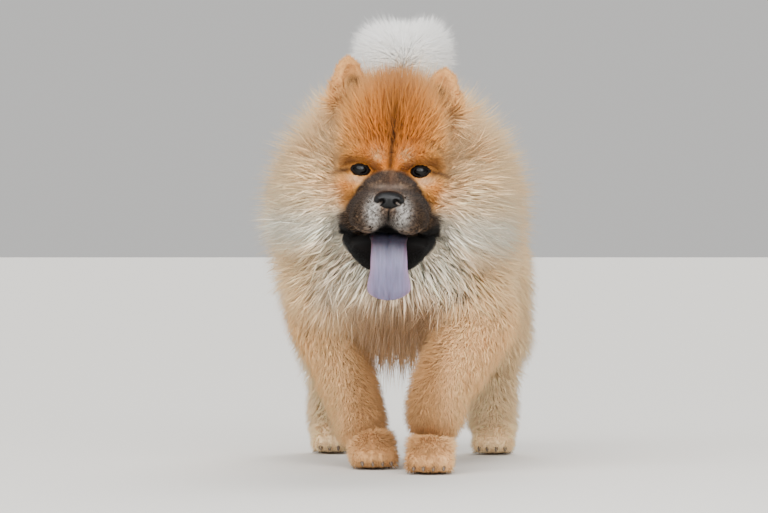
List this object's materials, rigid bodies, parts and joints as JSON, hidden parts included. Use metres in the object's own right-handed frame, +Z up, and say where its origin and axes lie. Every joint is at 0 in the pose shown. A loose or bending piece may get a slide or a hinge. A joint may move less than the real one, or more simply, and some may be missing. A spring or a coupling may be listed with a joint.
{
  "type": "chow chow dog model",
  "caption": "Life-size still model of a chow chow walking, with a full ruff, a plumed tail over the back, an open mouth and a hanging blue tongue.",
  "frame": {"origin": "middle of the model's bounding box in plan, on the floor that the soles stand on", "axes": "the dog faces -Y and its left side is towards +X; +Z is up"},
  "size_m": [0.3672, 0.6672, 0.5717],
  "materials": {
    "coat_rust": "soft dense fur",
    "coat_tan": "soft dense fur",
    "coat_cream": "soft dense fur",
    "coat_white": "soft dense fur",
    "mask_dark": "short dense fur",
    "nose_leather": "moist pebbled skin",
    "tongue_skin": "moist grained skin",
    "eye_brown": "wet gloss",
    "claw_horn": "satin horn"
  },
  "bodies": {
    "root": {"head": "coat_rust", "jaw": "mask_dark", "nose": "nose_leather", "tongue": "tongue_skin", "eye_left": "eye_brown", "eye_right": "eye_brown", "ear_left": "coat_rust", "ear_right": "coat_rust", "mane": "coat_cream", "torso_front": "coat_tan", "torso_rear": "coat_tan", "tail": "coat_white", "foreleg_left": "coat_tan", "foreleg_right": "coat_tan", "forepaw_left": "coat_tan", "forepaw_right": "coat_tan", "thigh_left": "coat_cream", "thigh_right": "coat_cream", "hock_left": "coat_cream", "hock_right": "coat_cream", "hindpaw_left": "coat_cream", "hindpaw_right": "coat_cream"}
  },
  "joints": []
}
